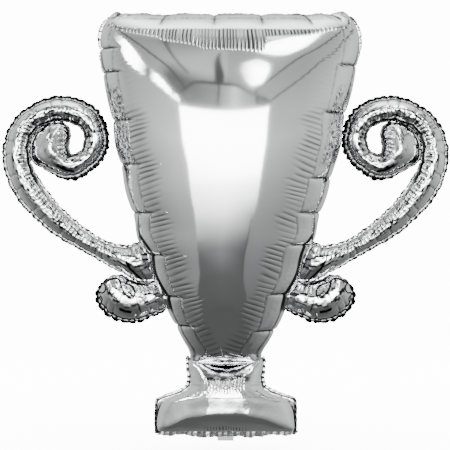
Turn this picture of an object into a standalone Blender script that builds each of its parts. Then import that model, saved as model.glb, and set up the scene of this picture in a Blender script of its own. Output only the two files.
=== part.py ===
"""Silver foil balloon in the shape of a two-handled trophy cup.

Each chamber is a front film and a back film, domed by the gas and welded
flat to each other along a narrow border. The chambers are the cup, the
base and, on each side, a large scroll and a small curl. A filling tail is
folded up behind the base.

Metres, +Z up, the front faces -Y. The origin is where the ribbon ties on:
the middle of the base's lower border, above the folded tail.
"""

import math

import bmesh
import bpy
from mathutils import Vector

# Driving dimensions
MM = 0.001
FILM = 1.2 * MM
GAP = 0.3 * MM
BORDER = 5.0 * MM
PINCH_BORDER = 2.0 * MM
FOOT_BORDER = 10.0 * MM
# Heights between which the handles join the cup's border
HANDLE_ROOT = (207 * MM, 318 * MM)

# Columns across each dome, from weld to weld
CUP_COLUMNS = 16
SCROLL_COLUMNS = 6
# Depth of the tubes' domes over half their width
SCROLL_ROUNDNESS = 0.92
CURL_ROUNDNESS = 0.86

# Tail, folded up behind the base
TAIL_WIDTH = 26 * MM
TAIL_FILM = 0.8 * MM
SLEEVE_FILM = 0.5 * MM
SLEEVE_WIDTH = 20 * MM
SLEEVE_OVERHANG = 6 * MM
TAIL_DROP = 5 * MM
TAIL_BACK_RUN = 16 * MM
TAIL_BACK_DROP = 1.5 * MM
TAIL_STRAIGHT = 46 * MM
TAIL_RISE_DEG = 39

# Cup in millimetres, one row a section: height, half width, half depth, bow of
# the row, place of its middle, and how round its dome is, 1 for an ellipse
CUP_ROWS = (
    (665, 177, 0, 0, 6.5, 0.9),
    (663, 186, 34, 0, 6.5, 0.9),
    (656, 195, 47, 0, 6.5, 0.9),
    (646, 201, 58, 0, 6.5, 0.9),
    (624, 205, 75, 0, 6.5, 0.9),
    (598, 203, 87, 0, 6.5, 0.85),
    (575, 199, 95, 0, 5.5, 0.85),
    (540, 191, 103, 0, 5, 0.8),
    (503, 182, 108, 0, 4, 0.75),
    (468, 176, 111, 0, 4, 0.75),
    (432, 167, 112, 0, 3.5, 0.7),
    (394, 158, 110, 0, 2, 0.7),
    (354, 145, 107, 0, 1.5, 0.7),
    (324, 137.5, 104, 0, 1, 0.7),
    (292, 125.5, 99, 0, 1, 0.65),
    (259, 113, 93, 0, 1, 0.6),
    (226, 99, 85, 0, 1, 0.6),
    (202, 87.5, 78, 0, 1.5, 0.55),
    (177, 76, 68, 0, 2, 0.5),
    (156, 65, 58, 2, 1.5, 0.5),
    (142, 58, 49, 6, 1, 0.5),
    (132, 55, 39, 11, 0.5, 0.5),
    (127, 54, 30, 15, 0.5, 0.5),
    (124, 55, 18, 17.5, 0.5, 0.6),
    (123, 55, 0, 18, 0.5, 0.6),
)

# Base, with the same columns
BASE_ROWS = (
    (119, 55, 0, 18, 0.5, 0.5),
    (118, 56, 14, 17.5, 0.5, 0.5),
    (113, 57, 26, 14.5, 0.5, 0.5),
    (104, 58, 35, 10, 0.5, 0.5),
    (95, 60, 40, 5, 0.5, 0.5),
    (85, 62, 45, 2, 0.5, 0.6),
    (75, 70, 48, 0, 0.5, 0.65),
    (67, 85, 50, 0, 0.5, 0.75),
    (60, 105, 51, 0, 0.5, 0.9),
    (53, 108, 52, 0, 0.5, 0.9),
    (38, 108, 49, 0, 0.5, 0.8),
    (25, 108, 42, 0, 0.5, 0.7),
    (16, 108, 32, 0, 0.5, 0.6),
    (11, 108, 20, 0, 0.5, 0.6),
    (10, 108, 0, 0, 0.5, 0.6),
)

# Large scroll of the left handle in millimetres, from root to tip, one row a
# section: outer weld x, z, inner weld x, z, share of the tube's full depth, and
# share of the full border outside and inside
SCROLL_ROWS = (
    (-119, 249, -139, 310, 0.0, 0.2, 0.5),
    (-134, 244, -149, 302, 0.75, 0.2, 0.6),
    (-159, 258, -164, 299, 1.0, 0.5, 0.9),
    (-215, 292, -207, 315, 1.0, 1.0, 1.0),
    (-278, 330, -259, 357, 1.0, 1.0, 1.0),
    (-332, 388, -298, 408, 1.0, 1.0, 1.0),
    (-349, 451, -312.5, 454, 1.0, 1.0, 0.1),
    (-326, 506, -300, 487, 1.0, 1.0, 0.1),
    (-265, 535, -262, 501, 1.0, 1.0, 0.2),
    (-207, 513, -227, 487, 1.0, 0.6, 0.5),
    (-194, 454, -225, 458, 1.0, 0.5, 0.3),
    (-243, 413, -242, 446, 1.0, 1.0, 0.1),
    (-299, 432, -250, 458, 0.85, 0.8, 0.1),
    (-308.5, 458, -246, 472, 0.75, 0.1, 0.2),
    (-300, 481, -248, 483, 0.75, 0.1, 0.2),
    (-286, 491, -254, 492, 0.7, 0.1, 0.2),
    (-273, 496, -264, 497, 0.0, 0.1, 0.2),
)
SCROLL_STEPS = 2

# Small curl of the left handle, with the same columns
CURL_ROWS = (
    (-104, 210, -116, 246, 0.0, 0.4, 0.2),
    (-120, 194, -128, 241, 0.65, 0.6, 0.2),
    (-142, 185, -140, 233, 0.85, 1.0, 0.2),
    (-165, 187, -146, 222, 1.0, 1.0, 0.4),
    (-186, 197, -152, 220, 1.0, 1.0, 0.4),
    (-199, 217, -158, 226, 0.95, 1.0, 0.4),
    (-196, 238, -161, 234, 0.85, 1.0, 0.4),
    (-183, 249, -163, 242, 0.8, 0.6, 0.2),
    (-172, 253, -166, 250, 0.0, 0.3, 0.2),
)
CURL_STEPS = 2

# Colours of the real materials
FOIL_COLOUR = (0.80, 0.81, 0.82, 1.0)
VALVE_COLOUR = (0.88, 0.89, 0.90, 1.0)


def clear_scene():
    for item in list(bpy.data.objects):
        bpy.data.objects.remove(item)


def collection_named(name):
    made = bpy.data.collections.new(name)
    bpy.context.scene.collection.children.link(made)
    return made


def material_named(name, colour, roughness, metallic):
    made = bpy.data.materials.new(name)
    made.use_nodes = True
    shader = made.node_tree.nodes["Principled BSDF"]
    shader.inputs["Base Color"].default_value = colour
    shader.inputs["Roughness"].default_value = roughness
    shader.inputs["Metallic"].default_value = metallic
    return made


def in_plane(x, z):
    """A place in the balloon's own plane, from millimetres."""
    return Vector((x * MM, 0.0, z * MM))


def between(rows, steps):
    """Rows of numbers with smooth rows added between each two of them."""
    made = []
    last = len(rows) - 1
    for index in range(last):
        before = rows[max(index - 1, 0)]
        here = rows[index]
        there = rows[index + 1]
        after = rows[min(index + 2, last)]
        for step in range(steps):
            t = step / steps
            made.append(tuple(
                0.5 * (2 * b + (c - a) * t + (2 * a - 5 * b + 4 * c - d) * t * t
                       + (3 * b - a - 3 * c + d) * t ** 3)
                for a, b, c, d in zip(before, here, there, after)))
    made.append(rows[last])
    return made


def stack_sections(rows, side_border):
    """Level sections of the cup or the base, from its rows."""
    made = []
    for height, half_width, half_depth, bow, middle, roundness in rows:
        border = side_border(height * MM)
        made.append({
            "outer": in_plane(middle - half_width, height),
            "inner": in_plane(middle + half_width, height),
            "depth": half_depth * MM,
            "bow": bow * MM,
            "roundness": roundness,
            "outer_border": border,
            "inner_border": border,
        })
    return made


def tube_sections(rows, steps, roundness):
    """Sections across a scroll's tube, from root to tip."""
    made = []
    for outer_x, outer_z, inner_x, inner_z, depth_share, outside, inside in between(rows, steps):
        outer = in_plane(outer_x, outer_z)
        inner = in_plane(inner_x, inner_z)
        half_width = (inner - outer).length / 2
        made.append({
            "outer": outer,
            "inner": inner,
            "depth": max(depth_share, 0.0) * half_width * roundness,
            "bow": 0.0,
            "roundness": 1.0,
            "outer_border": max(outside, 0.1) * BORDER,
            "inner_border": max(inside, 0.1) * BORDER,
        })
    return made


def section_points(section, columns):
    """Points of one section: border edge, weld, dome, weld, border edge."""
    middle = (section["outer"] + section["inner"]) / 2
    half = (section["inner"] - section["outer"]) / 2
    across = half.normalized()
    points = [section["outer"] - across * section["outer_border"]]
    for column in range(columns + 1):
        angle = math.pi * column / columns
        share = -math.cos(angle)
        point = middle + half * share
        point.z -= section["bow"] * (1 - share * share)
        point.y = section["depth"] * max(math.sin(angle), 0.0) ** section["roundness"]
        points.append(point)
    points.append(section["inner"] + across * section["inner_border"])
    return points


def border_row(points, next_points, width):
    """The border's edge beyond an end row, away from the row after it."""
    middle = len(points) // 2
    away = points[middle] - next_points[middle]
    away.y = 0.0
    away.normalize()
    return [Vector((point.x, 0.0, point.z)) + away * width for point in points]


def panel_rows(sections, columns, start_border, end_border):
    rows = [section_points(section, columns) for section in sections]
    first = border_row(rows[0], rows[1], start_border) if start_border else None
    last = border_row(rows[-1], rows[-2], end_border) if end_border else None
    return [row for row in (first, *rows, last) if row]


def film_panel(name, rows, facing, material, collection):
    """One film as an open surface with the film's thickness added outside.

    facing is -1 for the front film and 1 for the back film."""
    shape = bmesh.new()
    grid = []
    for row in rows:
        places = [Vector((p.x, facing * (p.y + GAP / 2), p.z)) for p in row]
        grid.append([shape.verts.new(place) for place in places])
    for row, below in zip(grid, grid[1:]):
        for column in range(len(row) - 1):
            corners = (row[column], row[column + 1], below[column + 1], below[column])
            shape.faces.new(corners)
    bmesh.ops.recalc_face_normals(shape, faces=shape.faces)
    outward = sum(face.normal.y * face.calc_area() for face in shape.faces)
    if outward * facing < 0:
        bmesh.ops.reverse_faces(shape, faces=shape.faces)
    mesh = bpy.data.meshes.new(name)
    shape.to_mesh(mesh)
    shape.free()
    mesh.materials.append(material)
    mesh.shade_smooth()
    mesh.set_sharp_from_angle(angle=math.radians(50))
    made = bpy.data.objects.new(name, mesh)
    collection.objects.link(made)
    solidify = made.modifiers.new("film thickness", "SOLIDIFY")
    solidify.thickness = FILM
    solidify.offset = 1.0
    solidify.use_even_offset = True
    return made


def chamber(name, rows, material, collection):
    """The front and back films of one chamber."""
    for side, facing in (("front", -1), ("back", 1)):
        film_panel(f"{name}_{side}_film", rows, facing, material, collection)


def mirrored(rows):
    """The same rows on the other side of the balloon's middle plane."""
    return [[Vector((-point.x, point.y, point.z)) for point in row] for row in rows]


def cup_side_border(height):
    """The cup's border is narrow where the handles join it."""
    return PINCH_BORDER if HANDLE_ROOT[0] < height < HANDLE_ROOT[1] else BORDER


def build_cup(material, collection):
    sections = stack_sections(CUP_ROWS, cup_side_border)
    rows = panel_rows(sections, CUP_COLUMNS, BORDER, PINCH_BORDER)
    chamber("cup", rows, material, collection)
    return sections


def build_base(material, collection):
    sections = stack_sections(BASE_ROWS, lambda height: BORDER)
    rows = panel_rows(sections, CUP_COLUMNS, PINCH_BORDER, FOOT_BORDER)
    chamber("base", rows, material, collection)


def cup_edge_x(sections, height, side):
    """How far out the cup's border reaches at a height; side is -1 or 1."""
    weld, border = ("outer", "outer_border") if side < 0 else ("inner", "inner_border")
    for upper, lower in zip(sections, sections[1:]):
        top, bottom = upper[weld], lower[weld]
        if bottom.z <= height <= top.z:
            share = (top.z - height) / (top.z - bottom.z)
            edge = top.x + side * upper[border]
            return edge + (bottom.x + side * lower[border] - edge) * share
    raise ValueError(f"the cup has no side at {height}")


def seat_root(rows, sections, side):
    """Lays a handle's border row and first weld row along the cup's border."""
    for edge_point, weld_point in zip(rows[0], rows[1]):
        edge = cup_edge_x(sections, weld_point.z, side) + side * GAP
        edge_point.x = edge
        edge_point.z = weld_point.z
        weld_point.x = edge + side * PINCH_BORDER


def build_handles(cup_sections, material, collection):
    shapes = (
        ("scroll", SCROLL_ROWS, SCROLL_STEPS, SCROLL_ROUNDNESS),
        ("curl", CURL_ROWS, CURL_STEPS, CURL_ROUNDNESS),
    )
    for shape, table, steps, roundness in shapes:
        tube = tube_sections(table, steps, roundness)
        left = panel_rows(tube, SCROLL_COLUMNS, PINCH_BORDER, 0.3 * BORDER)
        right = mirrored(left)
        for name, rows, side in (("left", left, -1), ("right", right, 1)):
            seat_root(rows, cup_sections, side)
            chamber(f"{name}_{shape}", rows, material, collection)


def tail_path(reach):
    """The tail's middle line: down from the base's border, back, then up."""
    rise = math.radians(TAIL_RISE_DEG)
    base_edge = BASE_ROWS[-1][0] * MM - FOOT_BORDER
    start = Vector((0.0, 0.0, base_edge - GAP))
    low = start - Vector((0.0, 0.0, TAIL_DROP))
    turn = low + Vector((0.0, TAIL_BACK_RUN, -TAIL_BACK_DROP))
    slope = Vector((0.0, math.cos(rise), math.sin(rise)))
    return [start, low, turn, turn + slope * (TAIL_STRAIGHT + reach)]


def strip(name, path, width, thickness, lift, material, collection):
    """A flat strip that follows a path, lifted off it to its upper side."""
    directions = [(b - a).normalized() for a, b in zip(path, path[1:])]
    normals = [Vector((0.0, -d.z, d.y)) for d in directions]
    joints = [normals[0]]
    for one, two in zip(normals, normals[1:]):
        half_way = (one + two).normalized()
        joints.append(half_way / half_way.dot(one))
    joints.append(normals[-1])
    shape = bmesh.new()
    rings = []
    for point, normal in zip(path, joints):
        low = point + normal * lift
        high = low + normal * thickness
        side = Vector((width / 2, 0.0, 0.0))
        rings.append([shape.verts.new(p) for p in (low - side, low + side, high + side, high - side)])
    for ring, following in zip(rings, rings[1:]):
        for corner in range(4):
            after = (corner + 1) % 4
            shape.faces.new((ring[corner], ring[after], following[after], following[corner]))
    shape.faces.new(rings[0])
    shape.faces.new(rings[-1])
    bmesh.ops.recalc_face_normals(shape, faces=shape.faces)
    mesh = bpy.data.meshes.new(name)
    shape.to_mesh(mesh)
    shape.free()
    mesh.materials.append(material)
    made = bpy.data.objects.new(name, mesh)
    collection.objects.link(made)
    return made


def build_tail(foil, valve, collection):
    """Two tail films with the valve's clear sleeve between them."""
    sleeve_lift = -SLEEVE_FILM / 2
    upper_lift = SLEEVE_FILM / 2 + GAP
    lower_lift = -upper_lift - TAIL_FILM
    strip("tail_inner_film", tail_path(0.0), TAIL_WIDTH, TAIL_FILM, upper_lift, foil, collection)
    strip("tail_outer_film", tail_path(0.0), TAIL_WIDTH, TAIL_FILM, lower_lift, foil, collection)
    strip("valve_sleeve", tail_path(SLEEVE_OVERHANG), SLEEVE_WIDTH, SLEEVE_FILM, sleeve_lift,
          valve, collection)


def main():
    clear_scene()
    balloon = collection_named("trophy_foil_balloon")
    foil = material_named("silver_foil", FOIL_COLOUR, 0.12, 1.0)
    valve = material_named("valve_film", VALVE_COLOUR, 0.3, 0.0)
    cup_sections = build_cup(foil, balloon)
    build_base(foil, balloon)
    build_handles(cup_sections, foil, balloon)
    build_tail(foil, valve, balloon)


main()
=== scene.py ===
import bpy
import numpy as np
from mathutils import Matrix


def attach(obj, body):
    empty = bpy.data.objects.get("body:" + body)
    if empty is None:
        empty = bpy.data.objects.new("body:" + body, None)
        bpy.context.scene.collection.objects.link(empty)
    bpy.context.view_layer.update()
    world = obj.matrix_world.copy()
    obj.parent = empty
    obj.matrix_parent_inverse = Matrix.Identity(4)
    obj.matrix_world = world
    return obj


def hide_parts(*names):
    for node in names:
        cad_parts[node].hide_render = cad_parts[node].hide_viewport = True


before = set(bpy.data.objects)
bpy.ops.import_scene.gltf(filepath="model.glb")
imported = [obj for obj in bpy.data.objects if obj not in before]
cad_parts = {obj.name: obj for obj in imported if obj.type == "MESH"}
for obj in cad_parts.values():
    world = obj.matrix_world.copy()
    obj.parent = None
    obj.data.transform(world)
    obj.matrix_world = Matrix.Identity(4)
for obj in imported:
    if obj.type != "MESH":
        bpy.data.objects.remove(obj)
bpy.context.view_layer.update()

# Sizes are in metres, and the tables below are in millimetres
MM = 0.001
# Rows and columns of each chamber's film, as it is solved and as it is finished
SOLVED_GRID = {"cup": (128, 96), "base": (48, 64), "scroll": (200, 16), "curl": (80, 16)}
FINE_GRID = {"cup": (320, 280), "base": (144, 192), "scroll": (600, 40), "curl": (240, 40)}
# The film's solver: how much coarser its grids are, how many rounds each gets,
# how often a round pulls the edges back to length, how far it lifts the film on
# the finest grid, how much motion it keeps, and how often the result is smoothed
LEVELS = (4, 2, 1)
ROUNDS = 60
PASSES = 4
LIFT = 0.0006
KEPT_MOTION = 0.9
SMOOTHINGS = 14
# How many smooth rows a table's row is split into
ROW_STEPS = 12

# Seams of the cup and of the base, from the top down, one row a section:
# height, half width, half depth, bow of the row, lean of its middle
CUP_ROWS = (
    (665, 177, 0, 0, 6.5),
    (659, 192, 30, 0, 6.5),
    (646, 201, 50, 0, 6.5),
    (624, 205, 70, 0, 6.5),
    (598, 203, 86, 0, 6.5),
    (575, 199, 97, 0, 5.5),
    (540, 191, 106, 0, 5),
    (503, 182, 111, 0, 4),
    (468, 177, 112, 0, 4),
    (432, 167, 110, 0, 3.5),
    (394, 158, 105, 0, 2),
    (354, 145, 98, 0, 1.5),
    (324, 139, 93, 0, 1),
    (292, 124, 87, 0, 1.5),
    (259, 114, 81, 0, 1),
    (226, 99, 73, 0, 1),
    (202, 90, 67, 0, 1.5),
    (177, 79.5, 61, 0, 2),
    (157, 69, 55, 2, 1.5),
    (143, 60.5, 51, 7, 1),
    (135, 57, 47, 13, 0.5),
    (130, 56, 39, 17, 0.5),
    (127.5, 56, 25, 18, 0.5),
    (127, 56, 0, 18, 0.5),
)
BASE_ROWS = (
    (125, 57, 0, 18, 0.5),
    (124, 58, 21, 17.8, 0.5),
    (121, 60, 33, 16.5, 0.5),
    (115, 61, 40, 14, 0.5),
    (106, 61, 44, 10, 0.5),
    (96, 61, 46, 6, 0.5),
    (86, 62.5, 47, 3, 0.5),
    (77, 67, 48, 0, 0.5),
    (68, 79, 50, 0, 0.5),
    (62, 96, 51, 0, 0.5),
    (58, 107, 52, 0, 0.5),
    (48, 109, 52, 0, 0.5),
    (34, 109, 51, 0, 0.5),
    (21, 109, 43, 0, 0.5),
    (14, 109, 30, 0, 0.5),
    (11, 109, 15, 0, 0.5),
    (10, 108, 0, 0, 0.5),
)

# Seams of the left handle's big scroll and small curl, from root to tip, one
# row a section: outer seam x and z, inner seam x and z, share of full depth
SCROLL_ROWS = (
    (-119, 249, -139, 310, 0.0),
    (-134, 244, -149, 302, 0.8),
    (-159, 258, -164, 299, 1.0),
    (-215, 292, -207, 315, 1.0),
    (-278, 330, -259, 357, 1.0),
    (-332, 388, -298, 408, 1.0),
    (-349, 451, -312.5, 454, 1.0),
    (-326, 506, -300, 487, 1.0),
    (-265, 535, -262, 501, 1.0),
    (-207, 513, -227, 487, 1.0),
    (-194, 454, -225, 458, 1.0),
    (-243, 413, -242, 446, 1.0),
    (-299, 432, -250, 458, 0.92),
    (-308.5, 458, -246, 472, 0.85),
    (-300, 481, -248, 483, 0.8),
    (-286, 491, -254, 492, 0.7),
    (-273, 496, -264, 497, 0.0),
)
CURL_ROWS = (
    (-104, 210, -116, 246, 0.0),
    (-120, 194, -129, 243, 0.6),
    (-142, 185, -140, 244, 0.75),
    (-165, 187, -147, 247, 0.7),
    (-186, 197, -153, 250, 0.68),
    (-199, 217, -158, 252, 0.7),
    (-196, 238, -162, 254, 0.75),
    (-183, 249, -165, 255, 0.7),
    (-172, 253, -167, 256, 0.0),
)
# A tube's half depth over its half width
TUBE_ROUNDNESS = 0.86

# Heights of the creases at the cup's sides and places across of those at its rim
CUP_LEFT_CREASES = (613, 575, 499, 430, 354, 288, 223, 177)
CUP_RIGHT_CREASES = (586, 510, 408, 354, 304, 227, 169)
CUP_TOP_CREASES = (-164, -100, -18, 58, 132, 170)
# How far in the fine folds of the cup's sides start, at the lower and at the
# upper end of each lobe, how long they are, how far apart, and how steeply they
# climb towards its middle
LEFT_FOLDS_BEGIN = (14 * MM, 21 * MM)
RIGHT_FOLDS_BEGIN = (23 * MM, 30 * MM)
SIDE_FOLD_LENGTH = 36 * MM
SIDE_FOLD_PITCH = 8.3 * MM
FOLD_RISE = 0.3
# How far down the rim its fine folds start
RIM_BAND = 25 * MM
# Place across and length of the rim's folds from there, in millimetres
RIM_FOLDS = ((-165, 4), (-106, 12), (-100, 17), (-56, 24), (-32, 33), (58, 36), (64, 14),
             (130, 10), (165, 3))
# How far outside the cup's seam the handles' roots start, and how far along the
# tubes they are moved for it
ROOT_GAP = 2.4 * MM
ROOT_REACH = 30 * MM
# How much the cup's lower end sags over the neck
LIP_SAG = 3.5 * MM
# Bands of height, from where they begin to where they are gone: the finely textured sides
# of the cup with their specks of painted shade, the painted black crease at the handles' roots, and the
# painted shade under the neck
TEXTURED_BAND = (425, 440, 540, 560)
ROOT_BAND = (195, 215, 310, 325)
SHADE_BAND = (88, 94, 106, 112)
# Widths of a crease, of the slopes beside it and of the line of painted shade in it
CREASE_WIDTH = 1.6 * MM
CREASE_SLOPES = 5 * MM
CREASE_LINE = 1.3 * MM
# The fold at the neck in the photo: its height in the middle, and how much
# higher it is how far out
# neck_shade paints a black line of shade along this curve
NECK_HEIGHT = 108 * MM
NECK_RISE = 10 * MM
NECK_HALF = 41 * MM

# Edges of the handles' tubes: pitch of their lobes, how far these swell, and how
# dark the painted shade in the creases between them and in the line along the seam is
TUBE_EDGES = (
    ("outer", 30 * MM, 1.0 * MM, 0.2, 0.7),
    ("inner", 22 * MM, 0.9 * MM, 0.4, 1.0),
)

# Painted shade of folds on the left handle's arm and small curl, with no fold in the surface:
# width in millimetres, darkness, then the line's places as x and z in millimetres
SCROLL_FOLD_SHADE = (
    (3.2, 1.0, ((-156, 277), (-151, 267), (-145, 261), (-128, 244))),
    (1.8, 0.5, ((-142, 277), (-133, 262), (-124, 248))),
    (1.8, 0.5, ((-131, 283), (-125, 271), (-119, 262))),
    (4.0, 0.8, ((-265, 429), (-254, 423), (-241, 420))),
    (2.0, 0.5, ((-275, 489), (-280, 478), (-278, 465), (-271, 454))),
)
CURL_FOLD_SHADE = (
    (2.8, 1.0, ((-193, 243), (-183, 249), (-172, 251), (-167, 247),
                (-165, 240), (-162, 232), (-156, 225), (-149, 221))),
    (2.6, 0.9, ((-165, 246), (-156, 243), (-150, 240), (-145, 235), (-143, 227), (-146, 220))),
    (1.8, 0.6, ((-188, 237), (-178, 226), (-167, 213))),
    (1.8, 0.5, ((-167, 213), (-165, 221), (-161, 231))),
    (3.6, 1.0, ((-166, 203), (-159, 199), (-150, 198))),
    (2.0, 0.6, ((-140, 218), (-134, 199))),
    (2.0, 0.9, ((-200, 241), (-194, 243), (-189, 237), (-192, 229), (-199, 228))),
    (2.0, 0.8, ((-200, 226), (-195, 218), (-199, 209))),
)

# Sides of a film's grid, in the order that its seam is gone round
SIDE_ORDER = ("start", "inner", "end", "outer")
# The same sides as indices: its first and last row and its first and last column
SEAM_ROWS = ((0, slice(None)), (-1, slice(None)), (slice(None), 0), (slice(None), -1))
# Rings of the welded border: how far out, and which part of its edge's painted shade they have
BORDER_RINGS = ((0.15, 0.4), (0.4, 0.75), (0.6, 1.0), (1.0, 1.0))
# How far out a border's "line" of painted shade darkens it, as a share of its width
LINE_REACH = 0.3
# How far each border lies from the balloon's middle plane
FACE_GAP = 0.08 * MM
# The border of a seam that meets another chamber
NARROW = ((0, 1, 1), (1, 1, 1))

# Borders along each side, as (share of the side, width in millimetres, painted shade
# of its edge). "beads" are the pitch in millimetres and the depth of its edge's
# waves. Where they are given, "tilt" is how far it leans out of the balloon's
# plane, and "line" how much painted shade it has beside its seam, apart from the end
CUP_SIDE_LOW = ((0.6, 5, 0.5), (0.66, 1.2, 1), (0.8, 1.2, 1), (0.83, 2.5, 1), (0.94, 2.5, 1), (1, 1, 1))
CUP_BORDER = {
    "start": ((0, 5, 0.5), (0.04, 5, 0.9), (0.2, 5, 0.9), (0.23, 5, 1), (0.42, 5, 1), (0.45, 5, 0.5),
              (0.62, 5, 0.6), (0.68, 5, 0.9), (0.8, 5, 0.8), (0.83, 5, 1), (1, 5, 1)),
    "inner": ((0, 5, 1), (0.05, 5, 0.9), (0.08, 5, 0.3), (0.24, 5, 0.4), (0.26, 5, 0.8), (0.44, 5, 0.8),
              (0.47, 5, 0.4), *CUP_SIDE_LOW),
    "outer": ((0, 5, 0.3), (0.2, 5, 0.3), (0.24, 5, 0.9), (0.44, 5, 0.9), (0.47, 5, 0.4),
              *CUP_SIDE_LOW),
    "end": NARROW,
    "beads": (30, 0.2),
}
BASE_SIDE = ((0, 3, 0.7), (0.06, 5, 0.2), (0.5, 5, 0.2), (0.6, 4, 0.9), (1, 4, 1))
BASE_BORDER = {
    "start": NARROW,
    "inner": BASE_SIDE,
    "outer": BASE_SIDE,
    "end": ((0, 8, 0), (0.3, 8, 0), (0.38, 10.5, 0.15), (0.62, 10.5, 0.15), (0.7, 8, 0), (1, 8, 0)),
    "beads": (40, 0.2),
    "tilt": -0.08,
    "line": 1.0,
}
SCROLL_BORDER = {
    "start": NARROW,
    "outer": ((0, 1, 1), (0.08, 2, 0.9), (0.12, 4, 0.7), (0.3, 5, 0.65), (0.44, 5, 0.65), (0.5, 5, 1),
              (0.66, 5, 1), (0.72, 7.5, 1), (0.84, 7.5, 1), (0.88, 2, 1), (1, 2, 1)),
    "inner": ((0, 3, 1), (0.05, 4.5, 0.5), (0.1, 4.5, 0.4), (0.36, 4, 0.4), (0.42, 1.9, 1), (1, 1.9, 1)),
    "end": NARROW,
    "beads": (12.5, 0.5),
}
CURL_BORDER = {
    "start": NARROW,
    "outer": ((0, 2, 1), (0.15, 5, 1), (0.8, 5.5, 1), (1, 2, 1)),
    "inner": ((0, 1, 1), (0.2, 1, 1), (0.3, 1.5, 1), (0.85, 1.5, 1), (1, 1, 1)),
    "end": NARROW,
    "beads": (13, 0.7),
}

# Colours of the foil and of the painted shade that darkens it, how wide a fold is over its
# pitch, how tall folds are and how dark their painted shade is, and how tall the crinkles are
SILVER = (0.87, 0.88, 0.89, 1)
PAINTED_SHADE_BLACK = (0.004, 0.004, 0.0042, 1)
FOLD_WIDTH = 0.22
FOLD_TALL = 0.9 * MM
FOLD_DARK = 0.85
CRINKLE_TALL = 0.8 * MM
# How fast the painted shade of edges, seams and creases turns black: its light falls with this power
EDGE_CONTRAST = 3.0


def between(a, b, c, d, t):
    """The place at share t from b to c on a smooth curve through all four."""
    return 0.5 * (2 * b + (c - a) * t + (2 * a - 5 * b + 4 * c - d) * t * t
                  + (3 * b - a - 3 * c + d) * t ** 3)


def smooth_rows(rows):
    """The table's rows with smooth rows between each two of them."""
    table = np.array(rows, float)
    fine = [table[0]]
    last = len(table) - 1
    for index in range(last):
        a, b = table[max(index - 1, 0)], table[index]
        c, d = table[index + 1], table[min(index + 2, last)]
        fine += [between(a, b, c, d, t) for t in np.linspace(0, 1, ROW_STEPS + 1)[1:]]
    return np.array(fine)


def evenly(table, middle, depth, count):
    """The table at count + 1 rows that lie evenly over the blown-up film."""
    step = np.linalg.norm(np.diff(middle, axis=0), axis=1)
    distance = np.concatenate([[0], np.cumsum(np.hypot(step, np.diff(depth)))])
    places = np.linspace(0, distance[-1], count + 1)
    return np.stack([np.interp(places, distance, column) for column in table.T]) * MM


def in_plane(x, z):
    """Points in the balloon's middle plane."""
    return np.stack([x, np.zeros_like(x), z], -1)


def stack_seams(rows):
    """Seams of the cup or the base, from its level sections."""
    def seams(count):
        table = smooth_rows(rows)
        middle = np.stack([table[:, 4], table[:, 0]], -1)
        z, half, depth, bow, lean = evenly(table, middle, table[:, 2], count)
        return in_plane(lean - half, z), in_plane(lean + half, z), np.maximum(depth, 0), bow
    return seams


def tube_seams(rows):
    """Seams of a left-hand scroll's tube, from its sections."""
    def seams(count):
        table = smooth_rows(rows)
        width = np.hypot(table[:, 2] - table[:, 0], table[:, 3] - table[:, 1]) / 2
        depth = np.maximum(table[:, 4], 0) * width * TUBE_ROUNDNESS
        middle = np.stack([table[:, 0] + table[:, 2], table[:, 1] + table[:, 3]], -1) / 2
        table = np.column_stack([table, depth])
        outer_x, outer_z, inner_x, inner_z, _, depth = evenly(table, middle, depth, count)
        no_bow = np.zeros_like(depth)
        return in_plane(outer_x, outer_z), in_plane(inner_x, inner_z), depth, no_bow
    return seams


def start_and_rest(outer, inner, depth, bow, columns):
    """A first guess of the film, and the lengths of the flat film's edges."""
    middle, half = (outer + inner) / 2, (inner - outer) / 2
    width = np.linalg.norm(half, axis=1)
    radius = (width ** 2 + depth ** 2) / (2 * np.maximum(depth, 1e-4))
    angle = np.arctan2(width, radius - depth)
    ratio = np.where(depth > MM, radius * angle / width, 1.0)
    # The first rows have spare width, so that they can bulge from a flat end
    ratio = np.maximum(ratio, np.interp(np.arange(len(ratio)), [0, 6], [1.2, 1.0]))
    share = np.linspace(-1, 1, columns + 1)
    place = np.sin(share * np.pi / 2)
    start = middle[:, None] + half[:, None] * place[None, :, None]
    start[..., 2] -= bow[:, None] * (1 - place ** 2)
    start[..., 1] = -depth[:, None] * np.cos(share * np.pi / 2)
    flat = middle[:, None] + (half * ratio[:, None])[:, None] * share[None, :, None]
    flat[..., 2] -= bow[:, None] * (1 - share ** 2)
    centre = middle.copy()
    centre[:, 2] -= bow
    step = np.linalg.norm(np.diff(centre, axis=0), axis=1)
    stretch = (np.hypot(step, np.diff(depth)) / step)[:, None]
    across = np.linalg.norm(np.diff(flat, axis=1), axis=2)
    down = np.linalg.norm(np.diff(flat, axis=0), axis=2) * stretch
    longer = (stretch ** 2 - 1) * step[:, None] ** 2
    one = np.sqrt(((flat[1:, 1:] - flat[:-1, :-1]) ** 2).sum(-1) + longer)
    two = np.sqrt(((flat[1:, :-1] - flat[:-1, 1:]) ** 2).sum(-1) + longer)
    return start, (across, down, one, two)


def edges_of(points, rests):
    """The film's edges as pairs of views that share no point, with rest lengths."""
    across, down, one, two = rests
    pairs = []
    for odd in (0, 1):
        pairs.append((points[:, odd:-1:2], points[:, odd + 1::2], across[:, odd::2]))
        pairs.append((points[odd:-1:2], points[odd + 1::2], down[odd::2]))
        pairs.append((points[odd:-1:2, :-1], points[odd + 1::2, 1:], one[odd::2]))
        pairs.append((points[odd:-1:2, 1:], points[odd + 1::2, :-1], two[odd::2]))
    return pairs


def film_normals(points):
    """Area-weighted normals of a grid of points, towards the front."""
    normals = np.cross(np.gradient(points, axis=0), np.gradient(points, axis=1))
    return normals if normals[..., 1].mean() < 0 else -normals


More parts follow.
